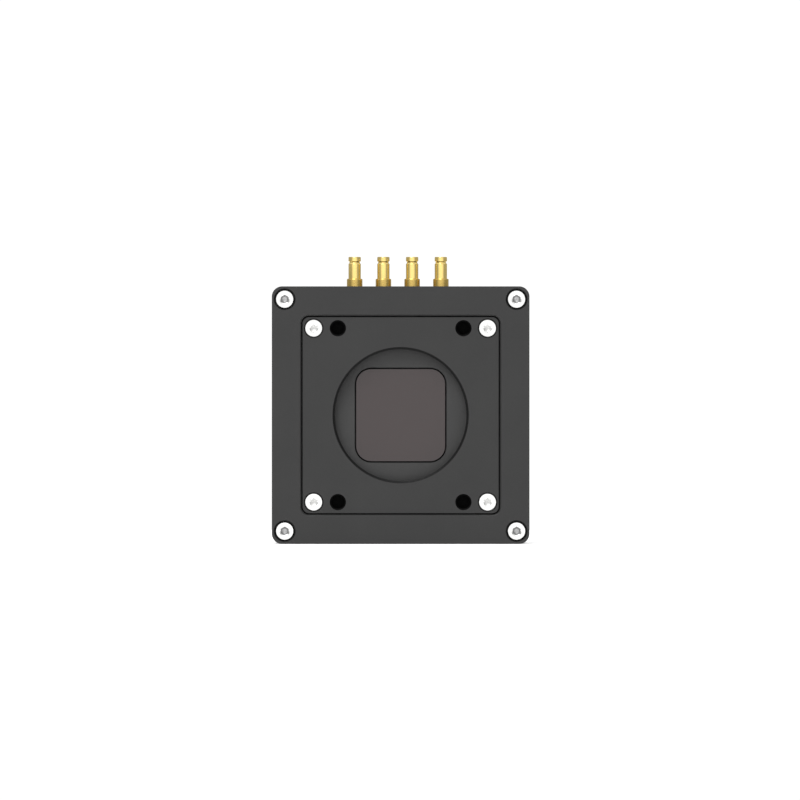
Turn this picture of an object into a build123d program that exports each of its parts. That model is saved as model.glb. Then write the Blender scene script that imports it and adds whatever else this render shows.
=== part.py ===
from build123d import *
import os

# A machine vision camera: a square housing milled in three sections, a screwed-on plate with the lens thread,
# a window with the image sensor behind it, three circuit boards, four coaxial jacks on top and a round
# power receptacle at the back. Four long screws at the corners clamp the sections and the boards together.
# The origin is on the optical axis, in the plane that a lens seats on. The camera looks along -Y, +X is on
# the right of someone facing it, and +Z is up. Every size is in millimetres.
# Depths are places along Y, so the front face lies a little below zero and the back face at about fifty.

# Housing outline, shared by the three sections
body_width = 80.0
body_height = 80.0
corner_radius = 3.2
side_wall = 4.5
top_wall = 4.0
boss_reach = 4.4

# Lens mount plate in its pocket
plate_recess = 0.8
plate_width = 60.9
plate_thickness = 5.0
plate_corner_radius = 2.0
plate_gap = 0.45
lens_thread_radius = 21.0
adapter_spacing_x = 39.0
adapter_spacing_z = 54.0
adapter_thread_radius = 2.5

# Filter glass, set into the web behind the plate
web_thickness = 3.0
glass_width = 28.2
glass_height = 29.2
glass_corner_radius = 5.0
glass_thickness = 1.1
glass_sink = 0.15
glass_clearance = 0.2
glass_ledge = 1.5

# Image sensor
flange_distance = 12.0
package_width = 42.0
package_thickness = 3.5
package_clearance = 2.0
cavity_width = 30.0
cavity_depth = 2.1
die_width = 26.0
die_thickness = 0.7
cover_glass_width = 33.0
cover_glass_thickness = 0.7
gasket_width = 2.4
gasket_clearance = 0.6
sensor_pocket_depth = 5.2

# Sensor heat spreader, bonded to two posts of the front frame
sensor_pad_thickness = 0.3
spreader_width = 24.0
spreader_thickness = 2.5
spreader_end_gap = 1.5
spreader_standoff = 2.0
pedestal_width = 20.0
pedestal_clearance = 1.0
post_height = 6.5

# Circuit boards, clamped between blocks of the housing sections and spacers
board_thickness = 1.6
board_side_gap = 0.5
board_top_gap = 1.5
boss_clearance = 0.5
sensor_stack_height = 8.4
support_reach = 5.0
support_width = 5.0
support_length = 4.0
support_inset = 12.0
spacer_width = 4.0

# Board-to-board connectors
link_length = 24.0
link_width = 5.0
link_tongue = 2.0
link_lip = 1.2
link_clearance = 0.05
sensor_link_inset = 5.0
interface_link_inset = 13.4

# Processor, its heat spreader and the memory around it
processor_width = 27.0
processor_thickness = 2.6
processor_lid_margin = 2.2
processor_pad_thickness = 0.4
processor_pad_width = 21.6
memory_width = 9.0
memory_height = 13.0
memory_thickness = 1.1
memory_gap = 4.0
memory_spacing_z = 20.0
rail_margin = 1.0
rail_depth = 3.0
rail_reach = 5.2
wing_thickness = 3.0
wing_link_clearance = 1.1
wing_gap = 0.1

# Middle housing and rear cover
middle_length = 24.8
rear_length = 14.2
rear_wall = 4.0

# Cooling grooves, cut by a disc cutter that leaves a curved run-out
cutter_radius = 12.0
side_groove_pitch = 4.8
side_groove_width = 2.4
side_groove_depth = 1.6
side_groove_margin = 15.0
side_groove_end = 3.5
rear_groove_pitch = 4.8
rear_groove_width = 2.4
rear_groove_depth = 1.8
rear_groove_margin = 14.8
rear_groove_length = 50.0

# Fixing holes in the housing
bracket_hole_spacing = 40.0
bracket_hole_depth = 6.0
bracket_hole_radius = 2.05
tripod_y = 29.0
tripod_hole_depth = 6.5
tripod_thread_radius = 3.175
tripod_boss_width = 11.0
tripod_boss_height = 7.5

# Coaxial jacks, in a row across the top
jack_count = 4
jack_pitch = 9.0
jack_row_x = -0.9
jack_rise = 9.55
jack_collar_rise = 2.67
jack_collar_radius = 2.45
jack_barrel_radius = 1.95
jack_hole_clearance = 0.15
jack_head_length = 1.35
jack_groove_depth = 0.35
jack_groove_height = 0.9
jack_bore_radius = 1.35
jack_insulator_sink = 4.8
jack_insulator_clearance = 0.02
jack_contact_radius = 0.45
jack_contact_sink = 1.2
jack_flange_width = 6.4
jack_flange_thickness = 1.5
jack_flange_gap = 1.0
jack_leg_width = 1.0
jack_leg_length = 4.0
jack_leg_x = 2.2
jack_tail_length = 2.5
jack_tail_clearance = 0.05

# Power and trigger receptacle in the rear cover
receptacle_side_inset = 22.0
receptacle_height = 19.0
receptacle_rise = 4.2
receptacle_barrel_radius = 6.0
receptacle_bore_radius = 4.6
receptacle_shoulder = 0.5
receptacle_inner_reach = 1.2
receptacle_clearance = 0.05
receptacle_hexagon_width = 15.0
receptacle_hexagon_thickness = 2.2
key_width = 1.4
key_depth = 0.6
insert_length = 3.4
insert_sink = 6.0
contact_pitch = 1.9
contact_rows = (2, 4, 4, 2)
contact_tail_width = 0.5
contact_tail_tip = 0.7
contact_hole_clearance = 0.05

# Status light
light_side_inset = 22.0
light_pipe_width = 2.4
light_pipe_rise = 0.4
light_pipe_clearance = 0.05
light_led_gap = 0.7
led_width = 1.6
led_thickness = 0.7

# Parts on the interface board
inductor_width = 7.0
inductor_chamfer = 1.0
inductor_thickness = 4.5
inductor_spacing = 12.0
inductor_z = 6.0
capacitor_length = 7.3
capacitor_width = 4.3
capacitor_thickness = 2.8
capacitor_spacing = 9.0
capacitor_z = -7.0
driver_width = 3.6
driver_thickness = 0.9
driver_gap = 0.4

# Screws: long M3 socket heads at the corners and M3 flat heads on the plate
m3_radius = 1.5
m3_hole_radius = 1.7
m3_thread_clearance = 0.05
screw_tip_room = 1.5
corner_screw_inset = 4.0
corner_screw_length = 45.0
corner_head_radius = 2.75
corner_head_height = 3.0
corner_head_sink = 0.3
corner_socket = 2.5
corner_socket_depth = 1.4
corner_counterbore_radius = 3.15
plate_screw_inset = 3.45
plate_screw_length = 10.0
plate_head_radius = 2.7
plate_head_sink = 0.05
plate_head_rim = 0.04
plate_socket = 2.0
plate_socket_depth = 1.0
countersink_clearance = 0.06
countersink_overrun = 1.0

# Sides of what repeats, where a few do: heads and seats, shanks and their holes, parts of the jacks
head_sides = 24
shank_sides = 12
insulator_sides = 16
contact_sides = 8

# Places that follow from the sizes above
front_face_y = -plate_recess
web_front_y = plate_thickness
web_back_y = web_front_y + web_thickness
glass_front_y = web_front_y + glass_sink
frame_back_y = web_back_y + sensor_pocket_depth
package_front_y = flange_distance + die_thickness - cavity_depth
package_back_y = package_front_y + package_thickness
sensor_board_back_y = package_back_y + board_thickness
spreader_front_y = sensor_board_back_y + spreader_standoff
spreader_back_y = spreader_front_y + spreader_thickness
processor_board_y = sensor_board_back_y + sensor_stack_height
processor_board_back_y = processor_board_y + board_thickness
processor_back_y = processor_board_back_y + processor_thickness
wing_front_y = processor_back_y + processor_pad_thickness
wing_back_y = wing_front_y + wing_thickness
parting_y = frame_back_y + middle_length
interface_board_y = parting_y - board_thickness / 2
interface_board_back_y = parting_y + board_thickness / 2
rear_face_y = parting_y + rear_length
rear_inner_y = rear_face_y - rear_wall
corner_seat_y = front_face_y + corner_head_sink + corner_head_height

corner_screw_x = body_width / 2 - corner_screw_inset
corner_screw_z = body_height / 2 - corner_screw_inset
plate_screw_place = plate_width / 2 - plate_screw_inset
inner_width = body_width - 2 * side_wall
inner_height = body_height - 2 * top_wall
inner_top_z = inner_height / 2
board_width = inner_width - 2 * board_side_gap
board_height = inner_height - 2 * board_top_gap
spreader_height = inner_height - 2 * spreader_end_gap
support_z = inner_height / 2 - support_inset
sensor_link_x = board_width / 2 - sensor_link_inset
interface_link_z = inner_height / 2 - interface_link_inset
wing_height = 2 * (interface_link_z - link_width / 2 - wing_link_clearance)
rail_height = wing_height - 2 * rail_margin
memory_x = processor_width / 2 + memory_gap + memory_width / 2
top_face_z = body_height / 2
jack_top_z = top_face_z + jack_rise
jack_collar_top_z = top_face_z + jack_collar_rise
jack_flange_top_z = inner_top_z - jack_flange_gap
jack_flange_bottom_z = jack_flange_top_z - jack_flange_thickness
jack_places = [jack_row_x + (i - (jack_count - 1) / 2) * jack_pitch for i in range(jack_count)]
receptacle_x = body_width / 2 - receptacle_side_inset
receptacle_z = receptacle_height - body_height / 2
receptacle_seat_radius = receptacle_bore_radius - receptacle_shoulder
insert_face_y = rear_face_y + receptacle_rise - insert_sink
light_x = light_side_inset - body_width / 2


# Shared shapes
def slab(profile, front_y, back_y):
    """Extrudes a profile, drawn in X and Z, from one depth to another."""
    return extrude(Plane.XZ.offset(-front_y) * profile, amount=front_y - back_y)


def turned(points):
    """Revolves a closed half profile of (radius, height) points about the Y axis."""
    return revolve(make_face(Polyline(*points, close=True)), Axis.Y)


def grid(shape, spacing_x, spacing_z):
    """Four copies of a flat shape at the corners of a rectangle."""
    return Sketch() + GridLocations(spacing_x, spacing_z, 2, 2) * shape


def copies(piece, spacing_x, spacing_z):
    """Four copies of a solid at the corners of a rectangle in X and Z."""
    places = [(sx * spacing_x / 2, sz * spacing_z / 2) for sx in (-1, 1) for sz in (-1, 1)]
    return Compound(children=[Pos(x, 0, z) * piece for x, z in places])


def hexagon(across_flats):
    return RegularPolygon(radius=across_flats / 2, side_count=6, major_radius=False)


def housing_outline():
    return RectangleRounded(body_width, body_height, corner_radius)


def inner_outline():
    """The hollow of the housing, cut back around the bosses that the corner screws pass."""
    boss = Rectangle(2 * boss_reach, 2 * boss_reach)
    return Rectangle(inner_width, inner_height) - grid(boss, 2 * corner_screw_x, 2 * corner_screw_z)


def corner_holes(radius, front_y, back_y, sides=shank_sides):
    hole = RegularPolygon(radius, sides)
    return slab(grid(hole, 2 * corner_screw_x, 2 * corner_screw_z), front_y, back_y)


def glass_outline(margin):
    """The outline of the filter glass, grown by a margin."""
    return RectangleRounded(
        glass_width + 2 * margin,
        glass_height + 2 * margin,
        glass_corner_radius + margin,
    )


def board_outline(top_z=board_height / 2):
    """A board as wide as the hollow allows, notched at the corners to pass the screw bosses."""
    bottom_z = -board_height / 2
    sheet = Pos(0, (top_z + bottom_z) / 2) * Rectangle(board_width, top_z - bottom_z)
    notch_x = board_width / 2 - corner_screw_x + boss_reach + boss_clearance
    notch_z = board_height / 2 - corner_screw_z + boss_reach + boss_clearance
    return sheet - grid(Rectangle(2 * notch_x, 2 * notch_z), board_width, board_height)


def board_supports(front_y, back_y):
    """Four blocks on the side walls, which hold the boards at their edges."""
    block = Rectangle(support_reach, support_width)
    return slab(grid(block, inner_width - support_reach, 2 * support_z), front_y, back_y)


# Front group
def front_frame():
    """The front section: plate pocket, web with a ledge for the glass, sensor pocket and posts."""
    frame = slab(housing_outline(), front_face_y, frame_back_y)
    pocket_width = plate_width + 2 * plate_gap
    pocket = RectangleRounded(pocket_width, pocket_width, plate_corner_radius + plate_gap)
    frame -= slab(pocket, front_face_y, web_front_y)
    frame -= slab(glass_outline(glass_clearance), web_front_y, glass_front_y + glass_thickness)
    opening = Rectangle(glass_width - 2 * glass_ledge, glass_height - 2 * glass_ledge)
    frame -= slab(opening, web_front_y, web_back_y)
    sensor_room = package_width + 2 * package_clearance
    frame -= slab(Rectangle(sensor_room, sensor_room), web_back_y, frame_back_y)
    frame += board_supports(frame_back_y, package_back_y)
    post = Rectangle(spreader_width, post_height)
    post_z = spreader_height / 2 - post_height / 2
    frame += slab(Pos(0, post_z) * post + Pos(0, -post_z) * post, frame_back_y, spreader_front_y)
    frame -= corner_holes(corner_counterbore_radius, front_face_y, corner_seat_y, head_sides)
    frame -= corner_holes(m3_hole_radius, corner_seat_y, frame_back_y)
    tapped = RegularPolygon(m3_radius + m3_thread_clearance, shank_sides)
    tapped = grid(tapped, 2 * plate_screw_place, 2 * plate_screw_place)
    frame -= slab(tapped, web_front_y, plate_head_sink + plate_screw_length + screw_tip_room)
    return frame - bracket_holes()


def bracket_holes():
    """Two M4 threads for a bracket, in the top of the front frame."""
    middle_y = (front_face_y + frame_back_y) / 2
    hole = Cylinder(bracket_hole_radius, bracket_hole_depth)
    middle_z = top_face_z - bracket_hole_depth / 2
    return [Pos(side * bracket_hole_spacing / 2, middle_y, middle_z) * hole for side in (-1, 1)]


def tapered_disc(radius, end_radius, front_y, rim):
    """A disc with a short rim, bevelled behind it at 45 degrees down to a smaller radius."""
    taper = radius - end_radius
    disc = slab(RegularPolygon(radius, head_sides, major_radius=False), front_y, front_y + rim + taper)
    return chamfer(disc.faces().sort_by(Axis.Y)[-1].edges(), taper)


def lens_mount_plate():
    """The square plate with the lens thread, four countersunk holes and four tapped adapter holes."""
    plate = slab(RectangleRounded(plate_width, plate_width, plate_corner_radius), 0, plate_thickness)
    seat_radius = plate_head_radius + plate_head_sink + plate_head_rim + countersink_clearance
    overrun = countersink_overrun
    countersink = tapered_disc(seat_radius + overrun, m3_hole_radius, -2 * overrun, overrun)
    countersink += slab(RegularPolygon(m3_hole_radius, head_sides, major_radius=False), 0, plate_thickness)
    plate -= copies(countersink, 2 * plate_screw_place, 2 * plate_screw_place)
    threads = grid(Circle(adapter_thread_radius), adapter_spacing_x, adapter_spacing_z)
    return plate - slab(threads + Circle(lens_thread_radius), 0, plate_thickness)


def mount_plate_screws():
    """Flat-head screws, flush with the plate."""
    piece = tapered_disc(plate_head_radius, m3_radius, 0, plate_head_rim)
    piece += slab(RegularPolygon(m3_radius, shank_sides), plate_socket_depth, plate_screw_length)
    piece -= slab(hexagon(plate_socket), 0, plate_socket_depth)
    return copies(Pos(0, plate_head_sink, 0) * piece, 2 * plate_screw_place, 2 * plate_screw_place)


def front_corner_screws():
    """Long socket-head screws that pass the front and middle sections and thread into the rear cover."""
    piece = slab(RegularPolygon(corner_head_radius, head_sides), -corner_head_height, 0)
    piece += slab(RegularPolygon(m3_radius, shank_sides), 0, corner_screw_length)
    piece -= slab(hexagon(corner_socket), -corner_head_height, corner_socket_depth - corner_head_height)
    return copies(Pos(0, corner_seat_y, 0) * piece, 2 * corner_screw_x, 2 * corner_screw_z)


def filter_glass():
    return slab(glass_outline(0), glass_front_y, glass_front_y + glass_thickness)


# Sensor group
def sensor_gasket():
    """The soft frame that keeps dust out between the web and the sensor package."""
    inner = cover_glass_width + 2 * gasket_clearance
    outer = inner + 2 * gasket_width
    return slab(Rectangle(outer, outer) - Rectangle(inner, inner), web_back_y, package_front_y)


def sensor_package():
    """The ceramic body, soldered flat to its board, with a cavity that holds the die."""
    body = slab(Rectangle(package_width, package_width), package_front_y, package_back_y)
    cavity = Rectangle(cavity_width, cavity_width)
    return body - slab(cavity, package_front_y, package_front_y + cavity_depth)


def sensor_die():
    return slab(Rectangle(die_width, die_width), flange_distance, flange_distance + die_thickness)


def sensor_cover_glass():
    pane = Rectangle(cover_glass_width, cover_glass_width)
    return slab(pane, package_front_y - cover_glass_thickness, package_front_y)


def sensor_thermal_pad():
    pad = Rectangle(pedestal_width, pedestal_width)
    return slab(pad, package_back_y, package_back_y + sensor_pad_thickness)


def sensor_heat_spreader():
    """A bar with a pedestal that reaches the package through the sensor board."""
    bar = slab(Rectangle(spreader_width, spreader_height), spreader_front_y, spreader_back_y)
    pedestal = Rectangle(pedestal_width, pedestal_width)
    return bar + slab(pedestal, package_back_y + sensor_pad_thickness, spreader_front_y)


def sensor_board():
    opening = pedestal_width + 2 * pedestal_clearance
    notch = Rectangle(spreader_width + 2 * pedestal_clearance, 2 * (post_height + pedestal_clearance))
    edge = spreader_height / 2
    sheet = board_outline() - Rectangle(opening, opening)
    sheet -= Pos(0, edge) * notch
    sheet -= Pos(0, -edge) * notch
    return slab(sheet, package_back_y, sensor_board_back_y)


def board_spacers():
    """Four square pillars between the sensor board and the processor board."""
    pillar = slab(Rectangle(spacer_width, spacer_width), sensor_board_back_y, processor_board_y)
    return copies(pillar, inner_width - support_reach - spacer_width / 2, 2 * support_z)


# Board-to-board connectors
def link_plug(front_y, back_y, size_x, size_z):
    """The half with a tongue, standing on the board in front of it."""
    middle_y = (front_y + back_y) / 2
    tongue_cut = 2 * (link_lip + link_clearance)
    tongue = Rectangle(size_x - tongue_cut, size_z - tongue_cut)
    plug = slab(Rectangle(size_x, size_z), front_y, middle_y)
    return plug + slab(tongue, middle_y, middle_y + link_tongue)


def link_socket(front_y, back_y, size_x, size_z):
    """The half with a well, standing on the board behind it."""
    middle_y = (front_y + back_y) / 2
    well = Rectangle(size_x - 2 * link_lip, size_z - 2 * link_lip)
    socket = slab(Rectangle(size_x, size_z), middle_y, back_y)
    return socket - slab(well, middle_y, middle_y + link_tongue + link_clearance)


def sensor_links(half):
    """One half of the two connectors between the sensor board and the processor board."""
    piece = half(sensor_board_back_y, processor_board_y, link_width, link_length)
    return Compound(children=[Pos(side * sensor_link_x, 0, 0) * piece for side in (-1, 1)])


def interface_links(half):
    """One half of the two connectors between the processor board and the interface board."""
    piece = half(processor_board_back_y, interface_board_y, link_length, link_width)
    return Compound(children=[Pos(0, 0, side * interface_link_z) * piece for side in (-1, 1)])


# Processor group
def processor_board():
    """The board, with a notch that passes the tripod boss."""
    notch_width = tripod_boss_width + 2 * pedestal_clearance
    boss_top_z = tripod_boss_height - top_face_z
    notch_height = 2 * (boss_top_z + pedestal_clearance + board_height / 2)
    sheet = board_outline() - Pos(0, -board_height / 2) * Rectangle(notch_width, notch_height)
    return slab(sheet, processor_board_y, processor_board_back_y)


def processor_chip():
    """The processor: a thin carrier with a raised lid."""
    carrier_back_y = processor_board_back_y + processor_thickness / 2
    lid_width = processor_width - 2 * processor_lid_margin
    chip = slab(Rectangle(processor_width, processor_width), processor_board_back_y, carrier_back_y)
    return chip + slab(Rectangle(lid_width, lid_width), carrier_back_y, processor_back_y)


def memory_chips():
    chip = Rectangle(memory_width, memory_height)
    piece = slab(chip, processor_board_back_y, processor_board_back_y + memory_thickness)
    return copies(piece, 2 * memory_x, memory_spacing_z)


def processor_thermal_pad():
    pad = Rectangle(processor_pad_width, processor_pad_width)
    return slab(pad, processor_back_y, wing_front_y)


def processor_heat_spreader():
    """A plate bonded to two rails, which carries the processor's heat to the grooved walls."""
    return slab(Rectangle(inner_width - 2 * wing_gap, wing_height), wing_front_y, wing_back_y)


# Housing sections behind the front frame
def spread(span, pitch, width):
    """Centred places of as many grooves as fit a span."""
    count = int((span - width) / pitch) + 1
    return [(k - (count - 1) / 2) * pitch for k in range(count)]


def side_grooves():
    """Grooves along both sides, open at the front frame and running out before the back face."""
    floor_x = body_width / 2 - side_groove_depth
    runout = (2 * cutter_radius * side_groove_depth - side_groove_depth**2) ** 0.5
    end_y = rear_face_y - side_groove_end - runout
    pass_cut = Pos(floor_x + cutter_radius, (frame_back_y + end_y) / 2)
    path = pass_cut * Rectangle(2 * cutter_radius, end_y - frame_back_y)
    path += Pos(floor_x + cutter_radius, end_y) * Circle(cutter_radius)
    groove = extrude(path, amount=side_groove_width / 2, both=True)
    heights = spread(body_height - 2 * side_groove_margin, side_groove_pitch, side_groove_width)
    right = [Pos(0, 0, z) * groove for z in heights]
    return right + [mirror(piece, about=Plane.YZ) for piece in right]


def rear_grooves():
    """Grooves down the back face, open at the top and running out above the receptacle."""
    floor_y = rear_face_y - rear_groove_depth
    runout = (2 * cutter_radius * rear_groove_depth - rear_groove_depth**2) ** 0.5
    end_z = top_face_z - rear_groove_length + runout
    path = Pos(floor_y + cutter_radius, (top_face_z + end_z) / 2) * Rectangle(
        2 * cutter_radius, top_face_z - end_z
    )
    path += Pos(floor_y + cutter_radius, end_z) * Circle(cutter_radius)
    groove = extrude(Plane.YZ * path, amount=rear_groove_width / 2, both=True)
    places = spread(body_width - 2 * rear_groove_margin, rear_groove_pitch, rear_groove_width)
    return [Pos(x, 0, 0) * groove for x in places]


def jack_holes():
    """The row of holes in the top wall, half in each of the two sections that meet there."""
    outline = RegularPolygon(jack_collar_radius + jack_hole_clearance, head_sides)
    hole = extrude(outline, amount=top_wall, both=True)
    return [Pos(x, parting_y, top_face_z) * hole for x in jack_places]


def middle_housing():
    """The grooved middle section, with rails, board supports and a tripod thread underneath."""
    shell = slab(housing_outline() - inner_outline(), frame_back_y, parting_y)
    rail = Rectangle(rail_reach, rail_height)
    rail_x = inner_width / 2 - rail_reach / 2
    shell += slab(Pos(rail_x, 0) * rail + Pos(-rail_x, 0) * rail, wing_back_y, wing_back_y + rail_depth)
    shell += board_supports(processor_board_back_y, processor_board_back_y + support_length)
    shell += board_supports(interface_board_y - support_length, interface_board_y)
    boss = Box(tripod_boss_width, tripod_boss_width, tripod_boss_height)
    shell += Pos(0, tripod_y, tripod_boss_height / 2 - top_face_z) * boss
    thread = Cylinder(tripod_thread_radius, tripod_hole_depth)
    shell -= Pos(0, tripod_y, tripod_hole_depth / 2 - top_face_z) * thread
    shell -= corner_holes(m3_hole_radius, frame_back_y, parting_y)
    return shell - side_grooves() - jack_holes()


def rear_cover():
    """The rear section: grooved back wall, tapped corners, and holes for the receptacle and the light."""
    shell = slab(housing_outline(), parting_y, rear_face_y)
    shell -= slab(inner_outline(), parting_y, rear_inner_y)
    shell += board_supports(interface_board_back_y, interface_board_back_y + support_length)
    thread_end_y = corner_seat_y + corner_screw_length + screw_tip_room
    shell -= corner_holes(m3_radius + m3_thread_clearance, parting_y, thread_end_y)
    barrel = Circle(receptacle_barrel_radius + receptacle_clearance)
    shell -= slab(Pos(receptacle_x, receptacle_z) * barrel, rear_inner_y, rear_face_y)
    window = light_pipe_width + 2 * light_pipe_clearance
    shell -= slab(Pos(light_x, receptacle_z) * Rectangle(window, window), rear_inner_y, rear_face_y)
    return shell - side_grooves() - rear_grooves() - jack_holes()


# Interface board group
def interface_board():
    """The board that carries the jacks on its upper edge and the receptacle's tails."""
    sheet = board_outline(jack_flange_bottom_z)
    slot_width = 2 * (jack_contact_radius + jack_tail_clearance)
    slot = Rectangle(slot_width, 2 * (jack_tail_length + jack_tail_clearance))
    sheet -= [Pos(x, jack_flange_bottom_z) * slot for x in jack_places]
    hole_width = contact_tail_width + 2 * contact_hole_clearance
    sheet -= [Pos(x, z) * Rectangle(hole_width, hole_width) for x, z in contact_places()]
    return slab(sheet, interface_board_y, interface_board_back_y)


def power_inductors():
    """Three moulded coils with bevelled corners."""
    outline = chamfer(Rectangle(inductor_width, inductor_width).vertices(), inductor_chamfer)
    coil = slab(outline, interface_board_back_y, interface_board_back_y + inductor_thickness)
    return Compound(children=[Pos(k * inductor_spacing, 0, inductor_z) * coil for k in (-1, 0, 1)])


def power_capacitors():
    """A row of moulded capacitors."""
    block = Rectangle(capacitor_length, capacitor_width)
    piece = slab(block, interface_board_back_y, interface_board_back_y + capacitor_thickness)
    steps = (-1.5, -0.5, 0.5, 1.5)
    return Compound(children=[Pos(k * capacitor_spacing, 0, capacitor_z) * piece for k in steps])


def line_drivers():
    """One small chip below each jack, on the front of the board."""
    chip = Rectangle(driver_width, driver_width)
    piece = slab(chip, interface_board_y - driver_thickness, interface_board_y)
    z = jack_flange_bottom_z - jack_leg_length - driver_gap - driver_width / 2
    return Compound(children=[Pos(x, 0, z) * piece for x in jack_places])


# Coaxial jacks
def upright(points, x):
    """A turned piece on the vertical axis of the jack at x, from (radius, z) points."""
    return Pos(x, parting_y, 0) * Rot(90, 0, 0) * turned(points)


def coax_jack(x):
    """The gold-plated shell: grooved barrel, collar, square flange, and legs that straddle the board."""
    groove_top_z = jack_top_z - jack_head_length
    groove_radius = jack_barrel_radius - jack_groove_depth
    shell = upright([
        (0, jack_flange_top_z),
        (jack_collar_radius, jack_flange_top_z),
        (jack_collar_radius, jack_collar_top_z),
        (jack_barrel_radius, jack_collar_top_z),
        (jack_barrel_radius, groove_top_z - jack_groove_height),
        (groove_radius, groove_top_z),
        (jack_barrel_radius, groove_top_z),
        (jack_barrel_radius, jack_top_z),
        (0, jack_top_z),
    ], x)
    flange = Box(jack_flange_width, jack_flange_width, jack_flange_thickness)
    shell += Pos(x, parting_y, jack_flange_top_z - jack_flange_thickness / 2) * flange
    leg_y = board_thickness / 2 + jack_leg_width / 2
    leg = Box(jack_leg_width, jack_leg_width, jack_leg_length)
    for side_x in (-1, 1):
        for side_y in (-1, 1):
            place = (x + side_x * jack_leg_x, parting_y + side_y * leg_y)
            shell += Pos(*place, jack_flange_bottom_z - jack_leg_length / 2) * leg
    bore = RegularPolygon(jack_bore_radius, insulator_sides)
    bore_length = jack_top_z - jack_flange_bottom_z
    return shell - Pos(x, parting_y, jack_flange_bottom_z) * extrude(bore, amount=bore_length)


def contact_section():
    return RegularPolygon(jack_contact_radius, contact_sides)


def coax_insulator(x):
    """The white insulator in the lower part of the jack's bore."""
    ring = RegularPolygon(jack_bore_radius - jack_insulator_clearance, insulator_sides) - contact_section()
    length = jack_top_z - jack_insulator_sink - jack_flange_bottom_z
    return Pos(x, parting_y, jack_flange_bottom_z) * extrude(ring, amount=length)


def coax_contact(x):
    """The centre contact, from its tail in the board's slot to its tip in the bore."""
    bottom_z = jack_flange_bottom_z - jack_tail_length
    length = jack_top_z - jack_contact_sink - bottom_z
    return Pos(x, parting_y, bottom_z) * extrude(contact_section(), amount=length)


# Receptacle and status light
def at_receptacle(piece):
    return Pos(receptacle_x, 0, receptacle_z) * piece


def contact_places():
    """Where the receptacle's contacts stand: short rows above and below two longer ones."""
    places = []
    for row, count in enumerate(contact_rows):
        z = receptacle_z + ((len(contact_rows) - 1) / 2 - row) * contact_pitch
        for k in range(count):
            places.append((receptacle_x + (k - (count - 1) / 2) * contact_pitch, z))
    return places


def receptacle_shell():
    """The barrel, screwed in by its hexagon, with a seat for the insert and a keyway in the bore."""
    mouth_y = rear_face_y + receptacle_rise
    inner_end_y = rear_inner_y - receptacle_inner_reach
    shell = turned([
        (0, inner_end_y),
        (receptacle_barrel_radius, inner_end_y),
        (receptacle_barrel_radius, mouth_y),
        (receptacle_bore_radius, mouth_y),
        (receptacle_bore_radius, insert_face_y),
        (0, insert_face_y),
    ])
    shell -= slab(RegularPolygon(receptacle_seat_radius, head_sides), inner_end_y, insert_face_y)
    flats = hexagon(receptacle_hexagon_width) - Circle(receptacle_barrel_radius)
    shell += slab(flats, rear_face_y, rear_face_y + receptacle_hexagon_thickness)
    keyway = Pos(0, receptacle_bore_radius) * Rectangle(key_width, 2 * key_depth)
    return at_receptacle(shell - slab(keyway, insert_face_y, mouth_y))


def receptacle_insert():
    """The black plastic disc that holds the contacts, flush with their back ends."""
    disc = RegularPolygon(receptacle_seat_radius - receptacle_clearance, head_sides)
    return at_receptacle(slab(disc, insert_face_y - insert_length, insert_face_y))


def receptacle_contacts():
    """The square tails of the contacts, from the insert into the interface board."""
    tail = Rectangle(contact_tail_width, contact_tail_width)
    piece = slab(tail, interface_board_y - contact_tail_tip, insert_face_y - insert_length)
    return Compound(children=[Pos(x, 0, z) * piece for x, z in contact_places()])


def status_light_pipe():
    """The clear pipe that brings the light of the diode to the back."""
    front_y = interface_board_back_y + led_thickness + light_led_gap
    section = Pos(light_x, receptacle_z) * Rectangle(light_pipe_width, light_pipe_width)
    return slab(section, front_y, rear_face_y + light_pipe_rise)


def status_led():
    chip = Pos(light_x, receptacle_z) * Rectangle(led_width, led_width)
    return slab(chip, interface_board_back_y, interface_board_back_y + led_thickness)


# Every piece under the name of its node
pieces = {
    "front_frame": front_frame(),
    "lens_mount_plate": lens_mount_plate(),
    "mount_plate_screws": mount_plate_screws(),
    "front_corner_screws": front_corner_screws(),
    "filter_glass": filter_glass(),
    "sensor_gasket": sensor_gasket(),
    "sensor_package": sensor_package(),
    "sensor_die": sensor_die(),
    "sensor_cover_glass": sensor_cover_glass(),
    "sensor_thermal_pad": sensor_thermal_pad(),
    "sensor_heat_spreader": sensor_heat_spreader(),
    "sensor_board": sensor_board(),
    "board_spacers": board_spacers(),
    "sensor_link_plugs": sensor_links(link_plug),
    "sensor_link_sockets": sensor_links(link_socket),
    "processor_board": processor_board(),
    "processor_chip": processor_chip(),
    "memory_chips": memory_chips(),
    "processor_thermal_pad": processor_thermal_pad(),
    "processor_heat_spreader": processor_heat_spreader(),
    "interface_link_plugs": interface_links(link_plug),
    "interface_link_sockets": interface_links(link_socket),
    "middle_housing": middle_housing(),
    "rear_cover": rear_cover(),
    "interface_board": interface_board(),
    "power_inductors": power_inductors(),
    "power_capacitors": power_capacitors(),
    "line_drivers": line_drivers(),
    "receptacle_shell": receptacle_shell(),
    "receptacle_insert": receptacle_insert(),
    "receptacle_contacts": receptacle_contacts(),
    "status_light_pipe": status_light_pipe(),
    "status_led": status_led(),
}
for number, place in enumerate(jack_places, 1):
    pieces[f"coax_jack_{number}"] = coax_jack(place)
    pieces[f"coax_insulator_{number}"] = coax_insulator(place)
    pieces[f"coax_contact_{number}"] = coax_contact(place)

os.makedirs("parts", exist_ok=True)
for name, piece in pieces.items():
    export_step(piece, f"parts/{name}.step")
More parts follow.
